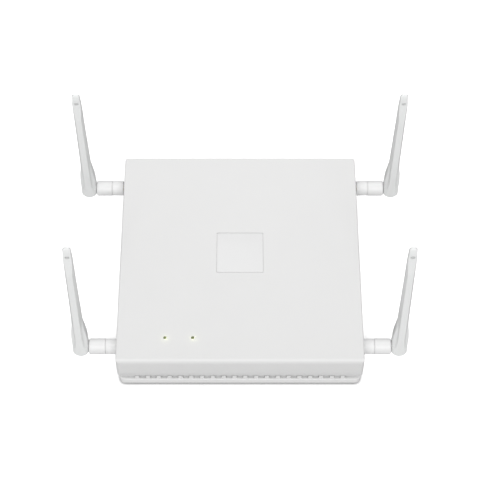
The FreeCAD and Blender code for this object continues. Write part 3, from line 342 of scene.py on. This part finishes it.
# Sizes along the blade, in millimetres above the hinge axis.
BLADE_TOP = 136.0
TIP_CORNER = 2.6
TIP_ROLL = 7.0
TIP_ROLL_DEPTH = 2.4
EAR_RADIUS = 6.4
EAR_TOP = 6.8
EAR_FACE = 2.95
EAR_CHAMFER = 1.5
SEAM = 0.05
SHOULDER_GAP = 0.02
FLAT_GAP = 0.04
MIDDLE_WIDTH = [(0.0, 12.8), (6.0, 13.0), (14.0, 13.5), (22.0, 12.9), (30.0, 11.0), (38.0, 9.8),
                (50.0, 9.4), (70.0, 9.0), (100.0, 8.4), (122.0, 8.1), (129.0, 7.0), (BLADE_TOP, 6.7)]
FLAT_WIDTH = [(0.0, 8.4), (8.0, 6.6), (18.0, 5.4), (45.0, 5.3), (70.0, 5.2), (100.0, 4.9),
              (BLADE_TOP, 4.6)]
DEPTH = [(0.0, 13.5), (16.0, 13.3), (38.0, 12.4), (70.0, 11.6), (100.0, 10.8), (BLADE_TOP, 10.0)]
# low down, the flat front drops by a short step to a shallower facet that fills the flare
STEP_OUT = 0.9
STEP_DROP = 2.0
FLARE_DROP = 3.0
FLARE_LOW = 3.0
FLARE_HIGH = 46.0
FLARE_RISE = 12.0
FLARE_FALL = 16.0
FLARE_INSET = 0.25
# the round disc at the hinge gives way to the shaft over this stretch
DISC_FADE_START = 2.0
DISC_FADE = 14.0
# how far along from the seam to the flat the two corners of a plain section lie
PLAIN_SHOULDER = 0.07
PLAIN_STEP = 0.5
# how far from a corner its rounding starts
EDGE_ROUNDING = 0.3
FLAT_ROUNDING = 0.45
# near the tip both faces are cut back by a sloping oval facet with a thumb notch at its top
FACET_LOW = 106.0
FACET_HIGH = 126.6
FACET_CUT = 5.0
FACET_SPREAD = 0.75
# the share of the tip's rounded corner that the flat takes part in
FLAT_CORNER_SHARE = 0.85
NOTCH_HALF_WIDTH = 1.7
NOTCH_HEIGHT = 1.4
NOTCH_DEPTH = 1.8


def rolled_off(height, reach, depth):
    """How far a face has rolled inwards in the last reach below the tip."""
    share = max(0.0, (height - BLADE_TOP + reach) / reach)
    return depth * (1.0 - math.sqrt(max(0.0, 1.0 - share * share)))


def blade_section(height):
    """Half of the blade's cross-section at a height: middle, flat and depth, all halved."""
    middle = curved(MIDDLE_WIDTH, height) / 2
    flat = curved(FLAT_WIDTH, height) / 2
    full_depth = curved(DEPTH, height) / 2
    facet_share = min(1.0, max(0.0, (height - FACET_LOW) / (FACET_HIGH - FACET_LOW)))
    depth = full_depth - FACET_CUT / 2 * facet_share
    flat += (middle - flat) * FACET_SPREAD * facet_share
    corner = rolled_off(height, TIP_CORNER, TIP_CORNER)
    roll = rolled_off(height, TIP_ROLL, TIP_ROLL_DEPTH)
    return middle - corner, flat - FLAT_CORNER_SHARE * corner, depth - roll


def blade_profile(height):
    """The right half of one cross-section, from the seam round to the flat's edge, as (u, v)."""
    if height < 0:
        middle = math.sqrt(max(0.0, EAR_RADIUS ** 2 - height ** 2))
        rim = EAR_RADIUS - EAR_CHAMFER
        flat = math.sqrt(max(0.0, rim ** 2 - height ** 2)) if abs(height) < rim else 0.0
        depth = blade_section(0.0)[2]
        if abs(height) > rim:
            depth -= abs(height) - rim
    else:
        middle, flat, depth = blade_section(height)
    seam = -EAR_FACE if height <= EAR_TOP else -SEAM
    start = Vector((middle, seam))
    edge = Vector((flat, min(-depth, seam - FLAT_GAP)))
    centre = Vector((0.0, edge.y))
    disc_share = 1.0 - smooth_step((height - DISC_FADE_START) / DISC_FADE)
    flare_share = smooth_step((height - FLARE_LOW) / FLARE_RISE)
    flare_share *= smooth_step((FLARE_HIGH - height) / FLARE_FALL)
    plain = (start.lerp(edge, PLAIN_SHOULDER), start.lerp(edge, PLAIN_STEP))
    flared = (Vector((middle - FLARE_INSET, -(depth - FLARE_DROP))),
              Vector((flat + STEP_OUT, -(depth - STEP_DROP))))
    disc_shoulder = Vector((middle, -(depth - EAR_CHAMFER)))
    disc = (disc_shoulder, disc_shoulder.lerp(edge, 0.5))
    corners = []
    for plain_corner, flared_corner, disc_corner in zip(plain, flared, disc):
        corner = plain_corner.lerp(flared_corner, flare_share).lerp(disc_corner, disc_share)
        corner.y = min(corner.y, seam - SHOULDER_GAP)
        corners.append(corner)
    shoulder, step = corners
    rounded = arc_corner(start, shoulder, step, EDGE_ROUNDING, 3)
    rounded += arc_corner(shoulder, step, edge, EDGE_ROUNDING, 3)
    return [start] + rounded + arc_corner(step, edge, centre, FLAT_ROUNDING, 4)


def notch(u, height):
    """How far the thumb notch sinks into the face here: steep sides and a flat bottom."""
    across = u / NOTCH_HALF_WIDTH
    along = (height - FACET_HIGH) / NOTCH_HEIGHT
    return NOTCH_DEPTH * min(1.0, max(0.0, 4.0 * (1.0 - across * across - along * along)))


def blade_heights():
    """Heights of the cross-sections, closest together where the shape changes quickly."""
    ear = [-EAR_RADIUS * math.cos(math.radians(step * 7.5)) for step in range(12)]
    fork = [0.0, 2.0, 4.0, 5.6, EAR_TOP, EAR_TOP + 0.01]
    shaft = [8.0 + 2.4 * step for step in range(40)]
    shaft = [height for height in shaft if height < FACET_LOW - 1]
    facet = [FACET_LOW + 1.5 * step for step in range(13)]
    thumb = [FACET_HIGH - 1.6 + 0.2 * step for step in range(17)]
    cap = [FACET_HIGH + 2.0 + 0.6 * step for step in range(16)]
    tip = [BLADE_TOP - TIP_CORNER * (1 - math.sin(math.radians(step * 9))) for step in range(11)]
    cap = [height for height in cap if height < tip[0] - 0.1]
    return ear + fork + shaft + facet + thumb + cap + tip


def blade_half(facing):
    """Vertices and faces of one half of the blade. facing is 1 for the front half and -1 for the
    rear half. The local frame has its origin at the hinge, u across, v to the rear, w up."""
    columns = 18
    rings = []
    for height in blade_heights():
        profile = blade_profile(height)
        seam = profile[0].y
        edge = profile[-1]
        across = []
        for column in range(1, columns):
            u = edge.x * (1 - 2 * column / columns)
            across.append(Vector((u, edge.y + notch(u, height))))
        mirrored = [Vector((-point.x, point.y)) for point in reversed(profile)]
        back = [Vector((profile[0].x * (-1 + 2 * share / 4), seam)) for share in range(1, 4)]
        outline = profile + across + mirrored + back
        rings.append([Vector((point.x, point.y * facing, height)) * MM for point in outline])
    return skin(rings)


def hinge_matrix(where):
    """From the blade's own frame to the row frame: the pin's axis tells how far it leans."""
    joint = JOINTS["fold_" + where]
    rearward = Vector(joint["axis"])
    if rearward.y < 0:
        rearward.negate()
    across = Vector((1, 0, 0))
    up = across.cross(rearward)
    turn = Matrix((across, rearward, up)).transposed().to_4x4()
    return Matrix.Translation(Vector(joint["pos_m"])) @ turn


def antenna_blades(where):
    matrix = hinge_matrix(where)
    for half, facing in (("front", 1), ("rear", -1)):
        vertices, faces = blade_half(facing)
        build(f"blade_{half}_half_{where}", vertices, faces, "blade_plastic", "blade_" + where,
              [f"blade_{half}_{where}"], sharp=40, matrix=matrix)


# ---------------------------------------------------------------- turned pieces

def turned(profile, steps, ripple=None):
    """Rings about the X axis from (x, radius) pairs in millimetres. ripple(x, angle) is how far
    a point sinks below that radius."""
    rings = []
    for x, radius in profile:
        ring = []
        for step in range(steps):
            angle = math.tau * step / steps
            here = radius - (ripple(x, angle) if ripple else 0.0)
            ring.append(Vector((x, here * math.cos(angle), here * math.sin(angle))) * MM)
        rings.append(ring)
    return rings


def rounding(x, radius, size, start, steps=6):
    """Profile points of a rounded rim. start True rounds the low-x end, False the high-x end."""
    points = []
    for step in range(steps + 1):
        angle = math.radians(90 * step / steps)
        inset = size * (1 - math.sin(angle))
        along = size * (1 - math.cos(angle))
        points.append((x + along, radius - inset) if start else (x - along, radius - inset))
    return points if start else points[::-1]


# Lengths outwards from the plane the antennas are screwed on to, in millimetres.
NUT_START = 0.6
NUT_END = 10.55
NUT_RADIUS = 6.6
NUT_BORE = 3.3
NUT_SHROUD = 5.3
NUT_COLLAR = 4.3
NUT_RIBS = 36
NUT_RIB_DEPTH = 0.14
NUT_BORE_START = 2.1
NUT_BORE_END = 7.6
NUT_START_ROUNDING = 0.9
NUT_END_ROUNDING = 0.35
GROOVE_DEPTH = 0.15
GROOVE_START = 9.05
GROOVE_FLOOR_START = 9.2
GROOVE_FLOOR_END = 9.5
GROOVE_END = 9.65
GRIP_START = 2.4
GRIP_END = 8.8
GRIP_FADE = 0.7
GRIP_RING_PITCH = 0.32
GRIP_RINGS = 21
HINGE_REACH = 31.5


def connector_matrix(where):
    """From a frame with X outwards along the connector to the row frame. The hinge is always
    HINGE_REACH from the plane that the antenna is screwed on to."""
    hinge = Vector(JOINTS["fold_" + where]["pos_m"])
    side = math.copysign(1.0, hinge.x)
    turn = Matrix.Rotation(0.0 if side > 0 else math.pi, 4, "Z")
    return Matrix.Translation(hinge - Vector((side * HINGE_REACH * MM, 0, 0))) @ turn


def coupling_nut(where):
    """The ribbed nut: fine axial ribs, a plain band at each end and a shallow ring groove."""
    def ripple(x, angle):
        fade = smooth_step((x - GRIP_START) / GRIP_FADE) * smooth_step((GRIP_END - x) / GRIP_FADE)
        rib = 0.5 - 0.5 * math.cos(NUT_RIBS * angle)
        return NUT_RIB_DEPTH * fade * rib
    groove_floor = NUT_RADIUS - GROOVE_DEPTH
    outer = rounding(NUT_START, NUT_RADIUS, NUT_START_ROUNDING, True)
    outer += [(GRIP_START + GRIP_RING_PITCH * step, NUT_RADIUS) for step in range(GRIP_RINGS)]
    outer += [(GROOVE_START, NUT_RADIUS), (GROOVE_FLOOR_START, groove_floor),
              (GROOVE_FLOOR_END, groove_floor), (GROOVE_END, NUT_RADIUS)]
    outer += rounding(NUT_END, NUT_RADIUS, NUT_END_ROUNDING, False, steps=3)
    inner = [(NUT_END, NUT_COLLAR), (NUT_BORE_END, NUT_COLLAR), (NUT_BORE_END, NUT_BORE),
             (NUT_BORE_START, NUT_BORE), (NUT_BORE_START, NUT_SHROUD), (NUT_START, NUT_SHROUD)]
    outer_rings = turned(outer, NUT_RIBS * 8, ripple)
    inner_rings = turned(inner, NUT_RIBS * 8)
    rings = outer_rings + inner_rings
    vertices, faces = skin(rings + [rings[0]], cap_start=False, cap_end=False)
    build("nut_" + where, vertices, faces, "nut_plastic", "coupling_nut_" + where,
          ["coupling_nut_" + where], sharp=50, matrix=connector_matrix(where))


# Knuckle: spigot inside the nut, smooth barrel, and a tongue to the hinge.
BARREL_START = 10.7
BARREL_END = 24.7
BARREL_RADIUS = 6.8
SPIGOT_START = 7.8
SPIGOT_RADIUS = 4.2
BARREL_START_ROUNDING = 0.5
BARREL_END_ROUNDING = 1.5
BARREL_RINGS = (13.0, 17.0, 21.0)
TONGUE_RADIUS = 5.0
TONGUE_HALF = 2.8
TONGUE_RIM = 0.5
TONGUE_RIM_STEP = 0.15
TONGUE_OVERLAP = 2.0


def tongue_shape():
    """The flat tongue with a round end and softened rims, as rings across its thickness."""
    rings = []
    rim = TONGUE_RIM
    softened = rim * 0.4
    start = BARREL_END - TONGUE_OVERLAP
    levels = [(-TONGUE_HALF, rim), (-TONGUE_HALF + TONGUE_RIM_STEP, softened),
              (-TONGUE_HALF + rim, 0.0), (TONGUE_HALF - rim, 0.0),
              (TONGUE_HALF - TONGUE_RIM_STEP, softened), (TONGUE_HALF, rim)]
    for level, inset in levels:
        radius = TONGUE_RADIUS - inset
        ring = [Vector((start, level, -radius)) * MM]
        for step in range(25):
            angle = math.radians(-90 + 7.5 * step)
            ring.append(Vector((HINGE_REACH + radius * math.cos(angle), level,
                                radius * math.sin(angle))) * MM)
        ring.append(Vector((start, level, radius)) * MM)
        rings.append(ring)
    return skin(rings)


def union(piece, other):
    """Joins another closed mesh into a piece as one closed mesh."""
    cut = piece.modifiers.new("join", "BOOLEAN")
    cut.operation = "UNION"
    cut.solver = "EXACT"
    cut.object = other
    bpy.context.view_layer.update()
    evaluated = piece.evaluated_get(bpy.context.evaluated_depsgraph_get())
    mesh = bpy.data.meshes.new_from_object(evaluated)
    piece.modifiers.clear()
    piece.data = mesh
    bpy.data.objects.remove(other)
    mesh.shade_smooth()
    mesh.set_sharp_from_angle(angle=math.radians(40))


def knuckle(where):
    """The smooth barrel with its spigot, leaning with its hinge, and the tongue joined to it."""
    profile = [(SPIGOT_START, SPIGOT_RADIUS), (BARREL_START, SPIGOT_RADIUS)]
    profile += rounding(BARREL_START, BARREL_RADIUS, BARREL_START_ROUNDING, True, steps=4)
    profile += [(x, BARREL_RADIUS) for x in BARREL_RINGS]
    profile += rounding(BARREL_END, BARREL_RADIUS, BARREL_END_ROUNDING, False, steps=8)
    matrix = connector_matrix(where)
    lean = hinge_matrix(where).to_3x3()
    side_turn = matrix.to_3x3()
    leaning = side_turn.inverted() @ lean @ side_turn
    matrix = matrix @ leaning.to_4x4()
    vertices, faces = skin(turned(profile, 64))
    barrel = build("knuckle_barrel_" + where, vertices, faces, "knuckle_plastic", "knuckle_" + where,
                   ["knuckle_" + where], matrix=matrix)
    tongue_vertices, tongue_faces = tongue_shape()
    mesh = bpy.data.meshes.new("tongue")
    mesh.from_pydata([matrix @ vertex for vertex in tongue_vertices], [], tongue_faces)
    work = bmesh.new()
    work.from_mesh(mesh)
    bmesh.ops.recalc_face_normals(work, faces=work.faces)
    work.to_mesh(mesh)
    work.free()
    mesh.materials.append(MATERIALS["knuckle_plastic"])
    tongue = bpy.data.objects.new("tongue", mesh)
    bpy.context.scene.collection.objects.link(tongue)
    union(barrel, tongue)


# ---------------------------------------------------------------- badge, lenses and feet

def rounded_square(half_x, half_y, corner, level, steps=8):
    """One ring round a rectangle with rounded corners, in metres."""
    ring = []
    for quarter, (x, y) in enumerate(((1, -1), (1, 1), (-1, 1), (-1, -1))):
        for step in range(steps + 1):
            angle = math.radians(-90 + 90 * quarter + 90 * step / steps)
            ring.append(Vector((x * (half_x - corner) + corner * math.cos(angle),
                                y * (half_y - corner) + corner * math.sin(angle), level)))
    return ring


def plate(name, node, corner, rim, slot, body):
    """A flat plate with a finely rounded upper rim, the size of its CAD node."""
    low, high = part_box(node)
    centre = (low + high) / 2
    half_x = (high.x - low.x) / 2
    half_y = (high.y - low.y) / 2
    rings = [rounded_square(half_x, half_y, corner, low.z)]
    for step in range(5):
        angle = math.radians(90 * step / 4)
        inset = rim * (1 - math.cos(angle))
        level = high.z - rim * (1 - math.sin(angle))
        rings.append(rounded_square(half_x - inset, half_y - inset, corner - inset, level))
    vertices, faces = skin(rings)
    matrix = Matrix.Translation((centre.x, centre.y, 0))
    build(name, vertices, faces, slot, body, [node], matrix=matrix)


# Light pipes, in millimetres. The collar's levels are below the underside of the cover's roof.
LENS_RADIUS = 1.3
LENS_COLLAR_RADIUS = 2.3
LENS_COLLAR_LOW = 1.6
LENS_COLLAR_HIGH = 0.1
LENS_DOME = 0.18
LENS_FLATTENING = 0.97
COVER_ROOF = 2.4


def light_lens(name, node):
    """A light pipe with a collar and a slightly domed, polished face."""
    low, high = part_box(node)
    centre = (low + high) / 2
    height = (high.z - low.z) / MM
    collar_low = height - COVER_ROOF - LENS_COLLAR_LOW
    collar_high = height - COVER_ROOF - LENS_COLLAR_HIGH
    profile = [(0.0, LENS_RADIUS), (collar_low, LENS_RADIUS), (collar_low, LENS_COLLAR_RADIUS),
               (collar_high, LENS_COLLAR_RADIUS), (collar_high, LENS_RADIUS)]
    for step in range(7):
        angle = math.radians(15 * step)
        profile.append((height - LENS_DOME * (1 - math.sin(angle)),
                        LENS_RADIUS * math.cos(angle * LENS_FLATTENING)))
    vertices, faces = skin(turned(profile, 32))
    upright = Matrix.Rotation(-math.pi / 2, 4, "Y")
    matrix = Matrix.Translation((centre.x, centre.y, low.z)) @ upright
    build(name, vertices, faces, "light_lens", "housing", [node], matrix=matrix)


# Feet, in millimetres: each grip ring is a shallow groove between an outer and an inner edge.
FOOT_RADIUS = 6.5
FOOT_ROUNDING = 0.6
FOOT_CENTRE = 0.6
GRIP_RING_DEPTH = 0.35
GRIP_RING_EDGES = ((5.2, 5.0, 4.2, 4.0), (2.8, 2.6, 1.8, 1.6))


def rubber_feet():
    """Four feet with a rounded tread edge and shallow concentric grip rings, as one piece."""
    low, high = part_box("rubber_feet")
    radius = FOOT_RADIUS
    height = (high.z - low.z) / MM
    profile = [(height, FOOT_CENTRE), (height, radius)]
    profile += rounding(0.0, radius, FOOT_ROUNDING, True)[::-1]
    for outer, outer_floor, inner_floor, inner in GRIP_RING_EDGES:
        profile += [(0.0, outer), (GRIP_RING_DEPTH, outer_floor), (GRIP_RING_DEPTH, inner_floor),
                    (0.0, inner)]
    profile.append((0.0, FOOT_CENTRE))
    all_vertices = []
    all_faces = []
    upright = Matrix.Rotation(-math.pi / 2, 4, "Y")
    for x in (low.x + radius * MM, high.x - radius * MM):
        for y in (low.y + radius * MM, high.y - radius * MM):
            vertices, faces = skin(turned(profile, 48))
            matrix = Matrix.Translation((x, y, low.z)) @ upright
            offset = len(all_vertices)
            all_vertices.extend(matrix @ vertex for vertex in vertices)
            all_faces.extend(tuple(index + offset for index in face) for face in faces)
    build("feet", all_vertices, all_faces, "foot_rubber", "housing", ["rubber_feet"])


# ---------------------------------------------------------------- studio

# The room's brightness in front, behind and above, and to the left and right.
ROOM_BRIGHT = 0.66
ROOM_DIM = 0.04
# The floor: how much light it bounces, how bright the camera sees it, and its contact shadow.
FLOOR_BOUNCE = 0.6
FLOOR_SEEN = 1.9
CONTACT_REACH = 5 * MM
CONTACT_FALLOFF = 1.5
UNDERSIDE_REACH = 6 * MM
FLOOR_HALF = 6.0
FLOOR_LEVEL = -0.02 * MM
# Lights: sizes in metres, powers in watts.
KEY_PLACE = (0, -2.45, 2.45)
KEY_SIZE = (2.4, 1.6)
KEY_POWER = 55.0
ABOVE_PLACE = (0, 0.42, 0.75)
ABOVE_SIZE = (0.7, 0.4)
ABOVE_POWER = 1.6
GLOW_POWER = 8e-5
GLOW_COLOR = (0.93, 1.0, 0.38)
GLOW_OFFSET = 0.5 * MM
GLOW_HEIGHT = 1.7 * MM


def area_light(name, place, target, size, power):
    data = bpy.data.lights.new(name, "AREA")
    data.shape = "RECTANGLE"
    data.size, data.size_y = size
    data.energy = power
    light = bpy.data.objects.new(name, data)
    light.location = place
    light.rotation_mode = "QUATERNION"
    light.rotation_quaternion = (Vector(target) - Vector(place)).to_track_quat("-Z", "Y")
    bpy.context.scene.collection.objects.link(light)


def surroundings():
    """A pale room that is dimmer to the left and right than in front, behind and above."""
    world = bpy.data.worlds.new("studio")
    world.use_nodes = True
    nodes = world.node_tree.nodes
    links = world.node_tree.links
    direction = nodes.new("ShaderNodeTexCoord")
    split = nodes.new("ShaderNodeSeparateXYZ")
    square = nodes.new("ShaderNodeMath")
    square.operation = "MULTIPLY"
    links.new(direction.outputs["Generated"], split.inputs["Vector"])
    links.new(split.outputs["X"], square.inputs[0])
    links.new(split.outputs["X"], square.inputs[1])
    strength = remap(nodes, links, square.outputs["Value"], ROOM_BRIGHT, ROOM_DIM)
    links.new(strength, nodes["Background"].inputs["Strength"])
    nodes["Background"].inputs["Color"].default_value = (1, 1, 1, 1)
    bpy.context.scene.world = world


def pale_floor():
    """A white floor that bounces light. A thin contact shadow is left where something stands.
    The floor is clear from below and to the short rays of the underside, so that it shows."""
    material, nodes, links, _ = new_material("floor_white")
    surface = nodes.new("ShaderNodeBsdfDiffuse")
    path = nodes.new("ShaderNodeLightPath")
    contact = nodes.new("ShaderNodeAmbientOcclusion")
    contact.samples = 8
    contact.inputs["Distance"].default_value = CONTACT_REACH
    shade = nodes.new("ShaderNodeMath")
    shade.operation = "POWER"
    shade.inputs[1].default_value = CONTACT_FALLOFF
    links.new(contact.outputs["AO"], shade.inputs[0])
    seen = nodes.new("ShaderNodeMix")
    seen.inputs["A"].default_value = FLOOR_BOUNCE
    links.new(path.outputs["Is Camera Ray"], seen.inputs["Factor"])
    links.new(remap(nodes, links, shade.outputs["Value"], 0.0, FLOOR_SEEN), seen.inputs["B"])
    links.new(seen.outputs["Result"], surface.inputs["Color"])
    geometry = nodes.new("ShaderNodeNewGeometry")
    clear = nodes.new("ShaderNodeBsdfTransparent")
    sided = nodes.new("ShaderNodeMixShader")
    close = nodes.new("ShaderNodeMath")
    close.operation = "LESS_THAN"
    close.inputs[1].default_value = UNDERSIDE_REACH
    links.new(path.outputs["Ray Length"], close.inputs[0])
    either = nodes.new("ShaderNodeMath")
    either.operation = "MAXIMUM"
    links.new(geometry.outputs["Backfacing"], either.inputs[0])
    links.new(close.outputs["Value"], either.inputs[1])
    links.new(either.outputs["Value"], sided.inputs["Fac"])
    links.new(surface.outputs["BSDF"], sided.inputs[1])
    links.new(clear.outputs["BSDF"], sided.inputs[2])
    links.new(sided.outputs["Shader"], nodes["Material Output"].inputs["Surface"])
    mesh = bpy.data.meshes.new("floor")
    reach = FLOOR_HALF
    level = FLOOR_LEVEL
    mesh.from_pydata([(-reach, -reach, level), (reach, -reach, level), (reach, reach, level),
                      (-reach, reach, level)], [], [(0, 1, 2, 3)])
    mesh.materials.append(material)
    floor = bpy.data.objects.new("floor", mesh)
    bpy.context.scene.collection.objects.link(floor)


def halo(node):
    """The faint glow that a lit light pipe throws on the cover around it."""
    low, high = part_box(node)
    data = bpy.data.lights.new("halo_" + node, "POINT")
    data.energy = GLOW_POWER
    data.color = GLOW_COLOR
    data.shadow_soft_size = 0.5 * MM
    light = bpy.data.objects.new("halo_" + node, data)
    light.location = ((low.x + high.x) / 2 + GLOW_OFFSET, (low.y + high.y) / 2 - GLOW_OFFSET,
                      high.z + GLOW_HEIGHT)
    bpy.context.scene.collection.objects.link(light)


def studio():
    """Soft light from high in front and from above the back, in a pale room on a white floor."""
    surroundings()
    pale_floor()
    area_light("key", KEY_PLACE, (0, 0, 0), KEY_SIZE, KEY_POWER)
    area_light("above", ABOVE_PLACE, (0, 0, 0), ABOVE_SIZE, ABOVE_POWER)
    halo("power_light_pipe")
    halo("link_light_pipe")


def camera():
    """The viewing angle: high in front, long lens."""
    data = bpy.data.cameras.new("camera")
    data.sensor_width = 36.0
    data.lens = 111.3
    data.clip_start = 0.05
    data.clip_end = 50.0
    elevation = math.radians(57.6)
    distance = 1.3054
    target = Vector((0, 0.0296, 0.020))
    back = Vector((0, -math.cos(elevation), math.sin(elevation)))
    view = bpy.data.objects.new("camera", data)
    view.location = target + back * distance
    view.rotation_mode = "QUATERNION"
    view.rotation_quaternion = (-back).to_track_quat("-Z", "Y")
    bpy.context.scene.collection.objects.link(view)
    bpy.context.scene.camera = view
    bpy.context.scene.view_settings.view_transform = "Standard"


finish_cad_nodes()
plate("badge", "badge_plate", 0.85 * MM, 0.15 * MM, "badge_plastic", "housing")
light_lens("power_lens", "power_light_pipe")
light_lens("link_lens", "link_light_pipe")
rubber_feet()
for where in WHERES:
    antenna_blades(where)
    coupling_nut(where)
    knuckle(where)
studio()
camera()
